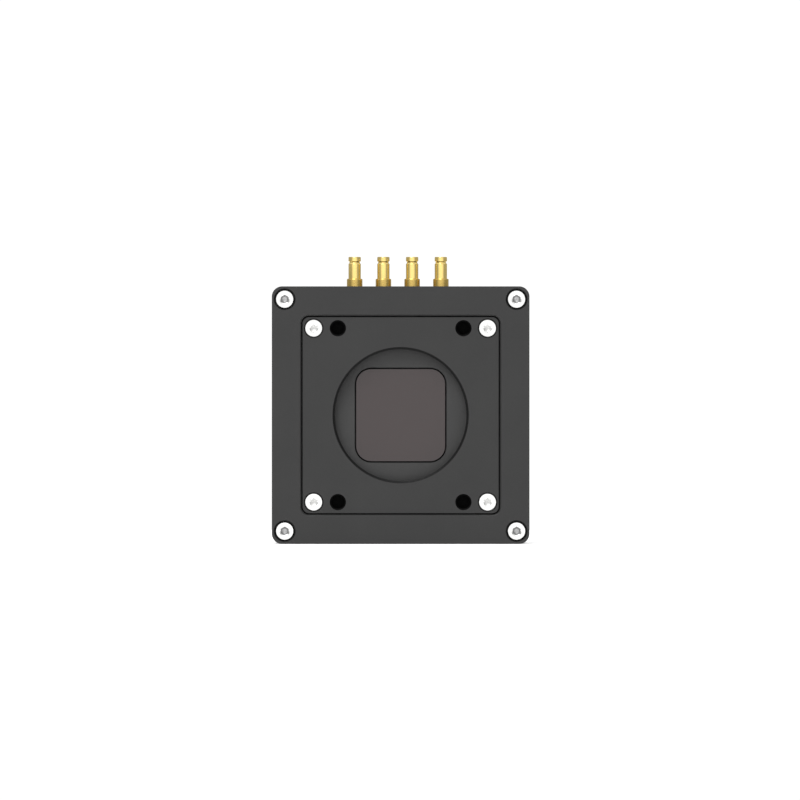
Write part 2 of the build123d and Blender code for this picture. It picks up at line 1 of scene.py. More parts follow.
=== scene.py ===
# %% [markdown]
# # A machine vision camera, dressed in Blender
# The camera is an anodised aluminium box with a lens mount in front, four gold jacks on top and a
# round receptacle at the back. The imported model already gives every piece its true place and size.
# This notebook adds the finishes, and the fine forms that the imported model leaves out. Blender
# works in metres, and a number that is multiplied by MM is in millimetres. The camera's front faces
# -Y, and +Z is up. First the frame is loaded, and its box is kept.

# %% Load the frame
import math
import bmesh
import bpy
from mathutils import Matrix, Vector


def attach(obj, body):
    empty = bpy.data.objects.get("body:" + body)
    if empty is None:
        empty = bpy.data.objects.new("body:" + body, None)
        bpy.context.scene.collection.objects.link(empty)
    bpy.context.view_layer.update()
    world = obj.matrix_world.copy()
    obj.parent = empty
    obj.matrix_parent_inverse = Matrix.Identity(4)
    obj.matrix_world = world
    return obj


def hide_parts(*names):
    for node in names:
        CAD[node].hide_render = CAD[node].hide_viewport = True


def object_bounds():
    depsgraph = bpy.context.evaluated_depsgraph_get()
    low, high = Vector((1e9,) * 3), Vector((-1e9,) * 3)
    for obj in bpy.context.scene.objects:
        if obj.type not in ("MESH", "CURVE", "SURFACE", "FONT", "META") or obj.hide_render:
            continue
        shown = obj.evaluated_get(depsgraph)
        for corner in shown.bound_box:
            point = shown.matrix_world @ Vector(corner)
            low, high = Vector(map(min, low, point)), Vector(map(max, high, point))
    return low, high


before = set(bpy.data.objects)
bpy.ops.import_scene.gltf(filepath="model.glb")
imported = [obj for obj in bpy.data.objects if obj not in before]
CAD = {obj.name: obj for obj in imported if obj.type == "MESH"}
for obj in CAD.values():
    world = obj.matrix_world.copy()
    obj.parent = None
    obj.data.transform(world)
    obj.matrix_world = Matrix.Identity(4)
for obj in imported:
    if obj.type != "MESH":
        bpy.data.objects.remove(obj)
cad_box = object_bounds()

MM = 0.001
print(len(CAD), "nodes, size in mm:", [round(v / MM, 1) for v in cad_box[1] - cad_box[0]])

# %% [markdown]
# ## The photo camera and the light
# The photograph is a straight front view with hardly any perspective. An orthographic camera would
# have none at all, while a very long lens from far in front keeps a trace of it, as a real camera
# does.

# %% The photo camera
CAMERA_DISTANCE = 4.14
AIM_X, AIM_Z = -0.2, 4.71
camera_data = bpy.data.cameras.new("photo_camera")
camera_data.lens = 600
camera_data.sensor_width = 36
camera_data.clip_end = 30
photo_camera = bpy.data.objects.new("photo_camera", camera_data)
bpy.context.scene.collection.objects.link(photo_camera)
photo_camera.location = (AIM_X * MM, -CAMERA_DISTANCE, AIM_Z * MM)
photo_camera.rotation_euler = (math.radians(90), 0, 0)
bpy.context.scene.camera = photo_camera
print("camera at", [round(v, 3) for v in photo_camera.location])

# %% [markdown]
# ### The surround
# The white background is a bright surround. A mirror shows what is around it, so the surround also
# decides how the screws and the gold look. It could be built from glowing panels, but the ramps
# below do the same in one world and stay smooth: bright in front and above, darker at the sides and
# below. That draws a dark line down each side of a round piece and under each edge. The photo
# camera sees plain white instead, so that the background stays even. Nodes are made by small
# helpers, because most of them differ in a few numbers only.


# %% Helpers for nodes
def node(tree, kind, **settings):
    """A new node, with its settings and its sockets' values given by name."""
    made = tree.nodes.new(kind)
    for name, value in settings.items():
        if hasattr(made, name):
            setattr(made, name, value)
        else:
            made.inputs[name.replace("_", " ")].default_value = value
    return made


def spread_over(tree, value, low, high, start=0.3, end=0.7, curve="LINEAR"):
    """A number that goes from low to high while another goes from start to end."""
    made = node(tree, "ShaderNodeMapRange", interpolation_type=curve, From_Min=start, From_Max=end,
                To_Min=low, To_Max=high)
    tree.links.new(value, made.inputs["Value"])
    return made.outputs[0]


def combined(tree, operation, first, second):
    """Two numbers put together by a maths node."""
    made = node(tree, "ShaderNodeMath", operation=operation)
    tree.links.new(first, made.inputs[0])
    tree.links.new(second, made.inputs[1])
    return made.outputs[0]


print("helpers for nodes are ready")

# %% The surround
SURROUND = 1.35
BACKDROP = 1.05
world = bpy.data.worlds.new("studio")
bpy.context.scene.world = world
world.use_nodes = True
sky = world.node_tree
sky.nodes.clear()
direction = node(sky, "ShaderNodeTexCoord").outputs["Generated"]
facing = node(sky, "ShaderNodeVectorMath", operation="DOT_PRODUCT")
facing.inputs[1].default_value = (0, -1, 0)
split = node(sky, "ShaderNodeSeparateXYZ")
sky.links.new(direction, facing.inputs[0])
sky.links.new(direction, split.inputs[0])
forward, height = facing.outputs["Value"], split.outputs["Z"]
front_glow = spread_over(sky, forward, 0.35, 1.0, start=0.45, end=1.0, curve="SMOOTHSTEP")
back_glow = spread_over(sky, forward, 0.0, 0.4, start=-0.3, end=-0.8, curve="SMOOTHSTEP")
top_glow = spread_over(sky, height, 0.0, 0.8, start=0.15, end=0.8, curve="SMOOTHSTEP")
above_floor = spread_over(sky, height, 0.15, 1.0, start=-0.75, end=-0.1, curve="SMOOTHSTEP")
brightest = combined(sky, "MAXIMUM", combined(sky, "MAXIMUM", front_glow, back_glow), top_glow)
glow = node(sky, "ShaderNodeBackground", Strength=SURROUND)
sky.links.new(combined(sky, "MULTIPLY", brightest, above_floor), glow.inputs["Color"])
print("surround strength", SURROUND)

# %% The backdrop
backdrop = node(sky, "ShaderNodeBackground", Color=(1, 1, 1, 1), Strength=BACKDROP)
choose = node(sky, "ShaderNodeMixShader")
output = node(sky, "ShaderNodeOutputWorld")
sky.links.new(node(sky, "ShaderNodeLightPath").outputs["Is Camera Ray"], choose.inputs[0])
sky.links.new(glow.outputs[0], choose.inputs[1])
sky.links.new(backdrop.outputs[0], choose.inputs[2])
sky.links.new(choose.outputs[0], output.inputs["Surface"])
bpy.context.scene.view_settings.view_transform = "Standard"
print("backdrop strength", BACKDROP)

# %% [markdown]
# ### The key light
# In the photograph the gaps have their shadow on the upper and left side, so a lamp stands above
# and a little to the left. A sun would draw hard shadows. A wide disc close by draws the soft ones
# of a studio.

# %% The key light
key_data = bpy.data.lights.new("key", "AREA")
key_data.shape = "DISK"
key_data.size = 0.8
key_data.energy = 12
key = bpy.data.objects.new("key", key_data)
bpy.context.scene.collection.objects.link(key)
key.location = (-0.28, -0.85, 0.98)
key.rotation_euler = (Vector((0, 0, 0)) - key.location).to_track_quat("-Z", "Y").to_euler()
print("key light", key_data.energy, "W")

# %% [markdown]
# ## Materials
# Each finish could be a painted picture, but a picture blurs up close and needs unwrapped pieces.
# Here each finish is built from noise at the size that the real surface has: a tenth of a
# millimetre for blasting, long streaks for brushing. Patterns read Object coordinates. Every piece
# sits at the origin, so those are the same metres as the model's, and a pattern never slides.
# Values that are the same everywhere are set on the shader's own sockets.


# %% Helpers for finishes
def finish(name, color, metallic=0.0, roughness=0.5, **sockets):
    """A principled material, with its tree, its shader and its object coordinates."""
    material = bpy.data.materials.new(name)
    material.use_nodes = True
    tree = material.node_tree
    shader = tree.nodes["Principled BSDF"]
    shader.inputs["Base Color"].default_value = (*color, 1)
    shader.inputs["Metallic"].default_value = metallic
    shader.inputs["Roughness"].default_value = roughness
    for socket, value in sockets.items():
        shader.inputs[socket.replace("_", " ")].default_value = value
    material.diffuse_color = (*color, 1)
    return material, tree, shader, node(tree, "ShaderNodeTexCoord").outputs["Object"]


def noise(tree, where, scale, detail=3.0, stretch=(1, 1, 1)):
    """Noise whose scale is in lumps per metre, stretched along an axis where asked."""
    place = node(tree, "ShaderNodeMapping")
    place.inputs["Scale"].default_value = stretch
    tree.links.new(where, place.inputs["Vector"])
    made = node(tree, "ShaderNodeTexNoise", Scale=scale, Detail=detail)
    tree.links.new(place.outputs[0], made.inputs["Vector"])
    return made.outputs["Fac"]


def tint(tree, value, dark, light):
    """A colour between two, as a value goes from 0 to 1."""
    made = node(tree, "ShaderNodeMix", data_type="RGBA")
    made.inputs["A"].default_value = (*dark, 1)
    made.inputs["B"].default_value = (*light, 1)
    tree.links.new(value, made.inputs["Factor"])
    return made.outputs["Result"]


def bumps(tree, shader, height, depth, strength):
    """Raises the surface by a height pattern that is this many metres deep."""
    made = node(tree, "ShaderNodeBump", Strength=strength, Distance=depth)
    tree.links.new(height, made.inputs["Height"])
    tree.links.new(made.outputs[0], shader.inputs["Normal"])


print("helpers for finishes are ready")

# %% [markdown]
# ### Anodised aluminium
# The housing is blasted with glass beads and then anodised dark grey. Blasting leaves fine dimples
# about a tenth of a millimetre wide, which scatter the light, so the face looks even from every
# side. The dye takes slightly unevenly, and handling polishes the edges. Wear could be found from
# the shape while rendering, but a face attribute also survives an export. It marks the bevelled
# edges, and they come out a little lighter.


# %% Anodised aluminium
def anodised(name, grey, gloss, metallic=0.25):
    """Blasted and dyed aluminium, with scuffs on the faces that are marked as worn."""
    material, tree, shader, where = finish(name, (grey,) * 3, metallic, Specular_IOR_Level=gloss)
    dimples = noise(tree, where, 9000, 2.0)
    cloud = spread_over(tree, noise(tree, where, 60), 0, 1)
    color = tint(tree, cloud, (grey * 0.94,) * 3, (grey * 1.06, grey * 1.055, grey * 1.05))
    edge = node(tree, "ShaderNodeAttribute", attribute_name="worn").outputs["Fac"]
    scuffs = spread_over(tree, noise(tree, where, 700, 4.0), 0.05, 0.6, 0.42, 0.68)
    worn = node(tree, "ShaderNodeMix", data_type="RGBA")
    worn.inputs["B"].default_value = (grey * 2.0, grey * 2.0, grey * 2.05, 1)
    tree.links.new(combined(tree, "MULTIPLY", edge, scuffs), worn.inputs["Factor"])
    tree.links.new(color, worn.inputs["A"])
    tree.links.new(worn.outputs["Result"], shader.inputs["Base Color"])
    matt = spread_over(tree, noise(tree, where, 2500, 2.0), 0.44, 0.58)
    tree.links.new(matt, shader.inputs["Roughness"])
    bumps(tree, shader, dimples, 0.00001, 0.6)
    return material


HOUSING = anodised("anodised_housing", 0.021, 0.35)
PLATE = anodised("anodised_plate", 0.0212, 0.35)
# Painted light: the web's face behind the plate, seen through the bore, is a little lighter, against
# the shade in the bore.
WEB_PAINTED_LIGHT = anodised("anodised_web_painted_light", 0.0315, 0.35)
# Painted shade: the thread walls, countersinks, hole mouths and threads get a nearly black copy of
# the anodising, for the shade that falls into them.
BORE_PAINTED_SHADE = anodised("anodised_bores_painted_shade", 0.004, 0.18)
# Painted shade: the deep adapter holes are painted black, with almost no gloss.
DEEP_PAINTED_SHADE = anodised("anodised_deep_holes_painted_shade", 0.001, 0.04, 0.0)
print("anodised aluminium, blasted outside, darker in the bores and black in the deep holes")

# %% [markdown]
# ### Plated and plain metals
# Gold or nickel plating copies the machined surface under it, so its gloss is a little streaky.
# Streaks could be painted, but noise that is squeezed along one axis makes them at any size. The
# jacks have bright gold barrels on satin collars, and the collars' darker gold is painted shade.
# Little light falls into the sockets of the screws, so those get duller metals whose darker colours
# are painted shade.


# %% Gold, nickel and plain aluminium
def metal(name, color, roughness, scale, streak=(1, 1, 1), depth=0.000004, shade=0.88):
    """A bare or plated metal, with streaks along one axis and a slightly uneven gloss."""
    material, tree, shader, where = finish(name, color, 1.0, roughness)
    streaks = noise(tree, where, scale, 3.0, streak)
    patches = spread_over(tree, noise(tree, where, 350, 4.0), 0, 1)
    darker = tuple(c * shade for c in color)
    tree.links.new(tint(tree, patches, darker, color), shader.inputs["Base Color"])
    gloss = spread_over(tree, streaks, roughness * 0.75, roughness * 1.3)
    tree.links.new(gloss, shader.inputs["Roughness"])
    bumps(tree, shader, streaks, depth, 0.5)
    return material


ALONG_X, ALONG_Y, ALONG_Z, LEVEL = (0.1, 1, 1), (1, 0.2, 1), (1, 1, 0.2), (0.2, 0.2, 1)
# The satin collars' roughness is real, and their darker gold is painted shade.
SATIN_GOLD_PAINTED_SHADE = metal("satin_gold_painted_shade", (0.69, 0.49, 0.145), 0.26, 7000, LEVEL, 0.000001, 0.94)
GOLD = metal("gold_plating", (0.93, 0.71, 0.25), 0.15, 5000, LEVEL, 0.000001)
NICKEL = metal("nickel_plating", (0.62, 0.6, 0.56), 0.22, 900, ALONG_Y, 0.000001, 0.95)
MILLED = metal("milled_aluminium", (0.8, 0.8, 0.81), 0.34, 4000, ALONG_X)
LID = metal("nickel_chip_lid", (0.58, 0.59, 0.6), 0.36, 3000, ALONG_Z)
# Painted shade for the screws' sockets: darker copies of the steel, lighter in the plate screws and
# on the cones at the bottoms of the corner sockets.
PLATE_SOCKET_SHADE = metal("plate_sockets_painted_shade", (0.6, 0.6, 0.59), 0.4, 6000)
SOCKET_WALL_SHADE = metal("socket_walls_painted_shade", (0.22, 0.22, 0.22), 0.4, 6000)
SOCKET_CONE_SHADE = metal("socket_cones_painted_shade", (0.44, 0.44, 0.44), 0.4, 6000)
print("plated and plain metals")

# %% [markdown]
# ### Turned steel
# The screws are stainless steel, and a lathe leaves fine rings on their heads. Ring patterns in
# Blender run round one axis, and there are four screws in a set. They sit at equal distances from
# the middle, so folding the coordinates into one quarter and measuring from one screw's axis gives
# rings round all four of them. Noise along that one distance makes rings of uneven width.


# %% Turned steel
def turned(name, color, roughness, reach):
    """Bright metal with rings about four axes that stand this many millimetres out and up."""
    material, tree, shader, where = finish(name, color, 1.0, roughness)
    folded = node(tree, "ShaderNodeVectorMath", operation="ABSOLUTE")
    centred = node(tree, "ShaderNodeVectorMath", operation="SUBTRACT")
    centred.inputs[1].default_value = (reach * MM, 0, reach * MM)
    flat = node(tree, "ShaderNodeVectorMath", operation="MULTIPLY")
    flat.inputs[1].default_value = (1, 0, 1)
    radius = node(tree, "ShaderNodeVectorMath", operation="LENGTH")
    rings = node(tree, "ShaderNodeTexNoise", noise_dimensions="1D", Scale=7000.0, Detail=3.0)
    tree.links.new(where, folded.inputs[0])
    tree.links.new(folded.outputs[0], centred.inputs[0])
    tree.links.new(centred.outputs[0], flat.inputs[0])
    tree.links.new(flat.outputs[0], radius.inputs[0])
    tree.links.new(radius.outputs["Value"], rings.inputs["W"])
    ring = rings.outputs[0]
    darker = tuple(c * 0.93 for c in color)
    tree.links.new(tint(tree, spread_over(tree, ring, 0, 1), darker, color),
                   shader.inputs["Base Color"])
    tree.links.new(spread_over(tree, ring, roughness * 0.8, roughness * 1.25),
                   shader.inputs["Roughness"])
    bumps(tree, shader, ring, 0.000001, 0.5)
    return material


CORNER_SCREWS, PLATE_SCREWS = 36, 27
STAINLESS = (0.78, 0.78, 0.77)
CORNER_STEEL = turned("stainless_corner_screws", STAINLESS, 0.2, CORNER_SCREWS)
PLATE_STEEL = turned("stainless_plate_screws", STAINLESS, 0.2, PLATE_SCREWS)
print("turned steel for two sets of screws")

# %% [markdown]
# ### Glass
# The window is a coated filter. From the front its coating shows as a thin brownish grey sheen over
# the dark sensor behind it. A real coating is a stack of films, too thin to model, so its colour
# goes straight into the glass. Clear glass covers the sensor, and a clear plastic rod carries the
# status light. Faint smears in the gloss keep all three from looking perfect.


# %% Glass
def glass(name, color, see_through):
    """A clear material with faint smears."""
    material, tree, shader, where = finish(name, color, 0.0, 0.04, IOR=1.52,
                                           Transmission_Weight=see_through)
    smears = spread_over(tree, noise(tree, where, 240, 5.0), 0.03, 0.09)
    tree.links.new(smears, shader.inputs["Roughness"])
    return material


FILTER = glass("coated_window", (0.0345, 0.025, 0.025), 0.12)
CLEAR = glass("clear_glass", (0.85, 0.9, 0.9), 0.95)
PIPE = glass("light_pipe", (0.85, 0.92, 0.88), 0.8)
print("three kinds of glass")

# %% [markdown]
# ### Silicon
# The sensor's die is polished silicon under a grid of tiny colour cells. The real cells are far too
# small to see one by one. A square cell pattern a quarter of a millimetre wide gives the same dull
# shimmer.


# %% Silicon
def silicon(name):
    """Polished silicon with a grid of square cells."""
    material, tree, shader, where = finish(name, (0.09, 0.08, 0.1), 0.6, 0.2)
    cells = node(tree, "ShaderNodeTexVoronoi", distance="CHEBYCHEV", Scale=4000.0, Randomness=0.0)
    tree.links.new(where, cells.inputs["Vector"])
    grid = spread_over(tree, cells.outputs["Distance"], 0, 1, 0.2, 0.5)
    tree.links.new(tint(tree, grid, (0.11, 0.09, 0.12), (0.06, 0.07, 0.09)),
                   shader.inputs["Base Color"])
    return material


SILICON = silicon("sensor_silicon")
print(SILICON.name)

# %% [markdown]
# ### Moulded, fired and pressed pieces
# Foam, ceramic, thermal pads and plastics are all dull, and differ in grain. One recipe serves
# them: a slightly uneven colour, and fine pits that roughen the surface. Only the colour, the gloss
# and the size of the pits change from one to the next.


# %% Moulded, fired and pressed pieces
def moulded(name, color, roughness, grain=2500, depth=0.000006, **sockets):
    """A dull surface with a fine grain and a slightly uneven colour."""
    material, tree, shader, where = finish(name, color, 0.0, roughness, **sockets)
    patches = spread_over(tree, noise(tree, where, 400, 4.0), 0, 1)
    darker = tuple(c * 0.85 for c in color)
    tree.links.new(tint(tree, patches, darker, color), shader.inputs["Base Color"])
    pits = noise(tree, where, grain)
    dull = spread_over(tree, pits, roughness * 0.85, min(1, roughness * 1.15))
    tree.links.new(dull, shader.inputs["Roughness"])
    bumps(tree, shader, pits, depth, 0.6)
    return material


RUBBER = moulded("black_foam", (0.03, 0.03, 0.03), 0.85, 1500, 0.00002)
CERAMIC = moulded("brown_ceramic", (0.16, 0.12, 0.1), 0.6)
PAD = moulded("silicone_pad", (0.45, 0.5, 0.55), 0.7, 1200, 0.00002)
BLACK = moulded("black_plastic", (0.02, 0.02, 0.02), 0.45)
IVORY = moulded("ivory_plastic", (0.6, 0.56, 0.44), 0.5)
FERRITE = moulded("pressed_powder", (0.08, 0.08, 0.085), 0.7, 1800, 0.00002)
TANTALUM = moulded("yellow_moulding", (0.32, 0.24, 0.1), 0.5)
WHITE = moulded("white_fluoropolymer", (0.85, 0.84, 0.8), 0.4, Subsurface_Weight=0.1)
DIODE = moulded("diode_resin", (0.75, 0.78, 0.5), 0.3)
print("nine dull materials")

# %% [markdown]
# ### The circuit boards
# A board is green solder mask over copper tracks, which lift the mask a little. Real tracks would
# have to be drawn one by one. The borders of a cell pattern whose distances are measured along the
# axes are straight and stepped, and pass for tracks on boards that stay inside the housing.


# %% Solder mask
def solder_mask(name):
    """Green mask with raised tracks."""
    material, tree, shader, where = finish(name, (0.012, 0.09, 0.04), 0.0, 0.3, Coat_Weight=0.4)
    tracks = node(tree, "ShaderNodeTexVoronoi", distance="MANHATTAN", feature="DISTANCE_TO_EDGE",
                  Scale=420.0)
    tree.links.new(where, tracks.inputs["Vector"])
    raised = spread_over(tree, tracks.outputs["Distance"], 1, 0, 0.04, 0.07)
    tree.links.new(tint(tree, raised, (0.008, 0.07, 0.03), (0.02, 0.15, 0.06)),
                   shader.inputs["Base Color"])
    gloss = spread_over(tree, noise(tree, where, 900), 0.22, 0.4)
    tree.links.new(gloss, shader.inputs["Roughness"])
    bumps(tree, shader, raised, 0.00003, 0.6)
    return material


BOARD = solder_mask("solder_mask")
print(BOARD.name)

# %% [markdown]
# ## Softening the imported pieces
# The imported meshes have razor-sharp edges, and no real edge is that sharp. A Bevel modifier could
# soften them, but it writes no attribute on the new faces. Instead, a copy of each mesh is merged,
# its coplanar triangles are dissolved into clean faces, and every sharp edge gets a small bevel
# that catches the light. The bevel's faces carry an attribute, so a finish can wear along them. The
# copy then stands for its node. A Weighted Normal modifier keeps the flat faces flat beside the
# bevels.


# %% A helper that makes a piece
SMOOTH_BELOW = math.radians(35)


def put(name, bm, material, replaces=(), others=()):
    """Makes a mesh an object that rides on the camera's body and takes its finish from a slot."""
    mesh = bpy.data.meshes.new(name)
    bm.to_mesh(mesh)
    bm.free()
    mesh.shade_smooth()
    mesh.set_sharp_from_angle(angle=SMOOTH_BELOW)
    for finish_used in (material, *others):
        mesh.materials.append(finish_used)
    piece = bpy.data.objects.new(name, mesh)
    bpy.context.scene.collection.objects.link(piece)
    even = piece.modifiers.new("even_shading", "WEIGHTED_NORMAL")
    even.keep_sharp = True
    even.weight = 100
    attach(piece, "root")
    if replaces:
        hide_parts(*replaces)
    return piece


print("ready to make pieces")

# %% Helpers that soften a piece
WELD = 0.000002
FLAT = math.radians(0.5)
SHARP = math.radians(40)


def merged(name):
    """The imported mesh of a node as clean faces."""
    bm = bmesh.new()
    bm.from_mesh(CAD[name].data)
    bmesh.ops.remove_doubles(bm, verts=bm.verts, dist=WELD)
    bmesh.ops.dissolve_limit(bm, angle_limit=FLAT, verts=bm.verts, edges=bm.edges,
                             use_dissolve_boundaries=False)
    return bm


def bevelled(bm, edges, width, segments=1, clamp=False):
    """Bevels edges by a width in millimetres, and gives the new faces."""
    made = bmesh.ops.bevel(bm, geom=edges, offset=width * MM, offset_type="OFFSET",
                           segments=segments, profile=0.5, affect="EDGES", clamp_overlap=clamp,
                           material=-1)
    return made["faces"]


def soften(bm, width, segments=2):
    """Bevels every sharp edge by a width in millimetres, and marks the new faces as worn."""
    worn = bm.faces.layers.float.new("worn")
    edges = [e for e in bm.edges if len(e.link_faces) == 2 and e.calc_face_angle(0) > SHARP]
    for face in bevelled(bm, edges, width, segments, clamp=True):
        face[worn] = 1.0
    return bm


def softened(name, material, width):
    """A softened copy of a node that stands for it."""
    return put(name + "_finished", soften(merged(name), width), material, [name])


print("ready to soften")

# %% [markdown]
# ### The housing
# The front frame has a pocket for the mount plate, with a window opening in its web, and a deep
# hole for a screw at each corner. The mouths of those holes are cut a little wider, and their faces
# are painted nearly black as painted shade, so each head gets a thin dark ring round it. The web's
# face behind the plate is painted a little lighter, as painted light against the shade in the bore.
# The pocket's rim gets a wider edge than the rest. Both kinds of edge could be picked by hand, but
# a test on their place still finds them when the model is packed again. Holes come in fours, so one
# test of the distance to the nearest axis serves them all.


# %% A helper that finds round holes
def round_hole(item, x=0, z=0):
    """The distance from a corner or a face's middle to the nearest of four equal axes, in mm."""
    place = item.co if isinstance(item, bmesh.types.BMVert) else item.calc_center_median()
    return math.hypot(abs(place.x) / MM - x, abs(place.z) / MM - z)


print("ready to find holes")

# %% The front frame
POCKET = 31.0
CORNER_HOLE = 3.15
MOUTH = 0.25
NEAR_FRONT, WEB_FROM = -0.7, 4.9
bm = merged("front_frame")
front = min(v.co.y for v in bm.verts) + 0.01 * MM
mouths = [e for e in bm.edges
          if all(abs(round_hole(v, CORNER_SCREWS, CORNER_SCREWS) - CORNER_HOLE) < 0.1
                 and v.co.y < front for v in e.verts)]
bevelled(bm, mouths, MOUTH)
rim = [e for e in bm.edges
       if all(max(abs(v.co.x), abs(v.co.z)) < POCKET * MM and v.co.y < NEAR_FRONT * MM
              for v in e.verts)]
bevelled(bm, rim, width=0.4)
soften(bm, 0.15)
bm.normal_update()
# The web's face takes the painted light, and the mouths of the corner holes the painted shade.
for face in bm.faces:
    on_web = face.normal.y < -0.9 and face.calc_center_median().y > WEB_FROM * MM
    off_axis = round_hole(face, CORNER_SCREWS, CORNER_SCREWS)
    in_mouth = CORNER_HOLE < off_axis < CORNER_HOLE + MOUTH and -0.9 < face.normal.y < -0.5
    face.material_index = 2 if in_mouth else 1 if on_web else 0
piece = put("front_frame_finished", bm, HOUSING, ["front_frame"], others=(WEB_PAINTED_LIGHT, BORE_PAINTED_SHADE))
print(piece.name, len(piece.data.polygons), "faces, pocket edges:", len(rim),
      "mouth edges:", len(mouths))

# %% The other two sections
for name in ("middle_housing", "rear_cover"):
    piece = softened(name, HOUSING, 0.15)
    print(piece.name, len(piece.data.polygons), "faces")

# %% [markdown]
# ### The lens mount plate
# The plate's bore has a fine lead-in, and its thread wall is painted nearly black as painted
# shade. From the front it draws the dark circle round the window. The countersinks are cut a
# little wider than the heads, and their faces get the same painted shade, so that each white head
# has a thin dark ring round it, and the adapter holes get it too. A separate dark ring could be
# laid into each, but a second material on the faces that the cutter made needs no extra piece.

# %% The lens mount plate
THREAD_RADIUS = 21.0
ADAPTER_X, ADAPTER_Z = 19.5, 27
RIM_FROM, RIM_TO = 2.7, 2.95
CUT_BY_SINK, CUT_BY_TAP = 3.1, 2.65
bm = merged("lens_mount_plate")
lead_in = [e for e in bm.edges
           if all(abs(round_hole(v) - THREAD_RADIUS) < 0.05 and v.co.y < 0.1 * MM for v in e.verts)]
bevelled(bm, lead_in, width=0.12)
rims = [e for e in bm.edges
        if all(RIM_FROM < round_hole(v, PLATE_SCREWS, PLATE_SCREWS) < RIM_TO
               and v.co.y < 0.05 * MM for v in e.verts)]
bevelled(bm, rims, width=0.2)
soften(bm, 0.12, 1)
# The thread wall, the countersinks and the adapter holes take the painted shade.
for face in bm.faces:
    thread_wall = THREAD_RADIUS - 0.3 < round_hole(face) < THREAD_RADIUS + 0.15
    countersink = round_hole(face, PLATE_SCREWS, PLATE_SCREWS) < CUT_BY_SINK
    adapter_hole = round_hole(face, ADAPTER_X, ADAPTER_Z) < CUT_BY_TAP
    face.material_index = 1 if thread_wall or countersink or adapter_hole else 0
plate = put("lens_mount_plate_finished", bm, PLATE, ["lens_mount_plate"],
            others=(BORE_PAINTED_SHADE,))
print(plate.name, len(plate.data.polygons), "faces, lead-in edges:", len(lead_in),
      "rim edges:", len(rims))

# %% [markdown]
# ### The window
# The filter is a rounded plate of glass. Its bevelled edge is painted black as painted shade, which
# draws the dark line of the gap round the glass. The mark that soften leaves on the bevel's faces
# tells which ones to paint.

# %% The window
bm = soften(merged("filter_glass"), 0.3, 1)
worn = bm.faces.layers.float["worn"]
# The bevel's black is painted shade for the gap round the glass.
for face in bm.faces:
    face.material_index = 1 if face[worn] > 0.5 else 0
window = put("filter_glass_finished", bm, FILTER, ["filter_glass"], others=(BORE_PAINTED_SHADE,))
print(window.name, len(window.data.polygons), "faces")

# %% [markdown]
# ### The inner pieces and the plain outer ones
# Inside are the sensor with its seal and its cooling, three boards, their links and their chips.
# Their packed forms are complete, so a finish and a softened edge are all that they need, and one
# table holds them: the finish, the slot and the width of the edge in millimetres.

# %% The inner pieces and the plain outer ones
PLAIN = {
    "sensor_gasket": (RUBBER, "gasket", 0.2),
    "sensor_package": (CERAMIC, "ceramic", 0.1),
    "sensor_die": (SILICON, "silicon", 0.02),
    "sensor_cover_glass": (CLEAR, "cover_glass", 0.06),
    "sensor_thermal_pad": (PAD, "thermal_pad", 0.05),
    "sensor_heat_spreader": (MILLED, "heat_spreader", 0.2),
    "sensor_board": (BOARD, "board", 0.05),
    "board_spacers": (NICKEL, "spacer", 0.3),
    "sensor_link_plugs": (IVORY, "ivory_plastic", 0.15),
    "sensor_link_sockets": (BLACK, "black_plastic", 0.15),
    "processor_board": (BOARD, "board", 0.05),
    "processor_chip": (LID, "chip_lid", 0.15),
    "memory_chips": (BLACK, "black_plastic", 0.1),
    "processor_thermal_pad": (PAD, "thermal_pad", 0.05),
    "processor_heat_spreader": (MILLED, "heat_spreader", 0.2),
    "interface_link_plugs": (IVORY, "ivory_plastic", 0.15),
    "interface_link_sockets": (BLACK, "black_plastic", 0.15),
    "interface_board": (BOARD, "board", 0.04),
    "power_inductors": (FERRITE, "ferrite", 0.3),
    "power_capacitors": (TANTALUM, "capacitor", 0.15),
    "line_drivers": (BLACK, "black_plastic", 0.1),
    "receptacle_insert": (BLACK, "black_plastic", 0.1),
    "receptacle_contacts": (GOLD, "gold", 0.05),
    "status_light_pipe": (PIPE, "light_pipe", 0.15),
    "status_led": (DIODE, "diode", 0.1),
}
JACKS_X = (-14.4, -5.4, 3.6, 12.6)
for name, (material, slot, width) in PLAIN.items():
    softened(name, material, width)
for number in range(1, len(JACKS_X) + 1):
    softened(f"coax_insulator_{number}", WHITE, 0.06)
print(len(PLAIN) + len(JACKS_X), "pieces softened")

# %% [markdown]
# ## Turned pieces
# Screws, threads and contacts are round. Cylinders and cones could be stacked up, but they leave
# hidden faces where they meet. So each piece is drawn as half a profile and spun about its axis, as
# a lathe makes it, and then copied to its places.


# %% Helpers for turned pieces
CLOSE = 0.000001
UPRIGHT = Matrix.Rotation(math.radians(90), 3, "X")


def spun(bm, points, steps=48):
    """Spins a line of (radius, depth) points, in millimetres, a full turn about the Y axis."""
    line = [bm.verts.new((r * MM, y * MM, 0)) for r, y in points]
    edges = [bm.edges.new(pair) for pair in zip(line, line[1:])]
    bmesh.ops.spin(bm, geom=line + edges, cent=(0, 0, 0), axis=(0, 1, 0), angle=math.tau,
                   steps=steps, use_merge=True)
    bmesh.ops.remove_doubles(bm, verts=bm.verts, dist=CLOSE)


def only(kind, items):
    """Those of the items that are corners, or edges."""
    return [item for item in items if isinstance(item, kind)]


def at_places(bm, places):
    """Copies the whole mesh to each (x, y, z) place, in millimetres."""
    first = bm.verts[:] + bm.edges[:] + bm.faces[:]
    for place in places[1:]:
        made = bmesh.ops.duplicate(bm, geom=first)["geom"]
        bmesh.ops.translate(bm, verts=only(bmesh.types.BMVert, made), vec=Vector(place) * MM)
    bmesh.ops.translate(bm, verts=only(bmesh.types.BMVert, first), vec=Vector(places[0]) * MM)


def corners(x, y, z):
    """Four places, mirrored sideways and upwards."""
    return [(side * x, y, level * z) for side in (-1, 1) for level in (-1, 1)]


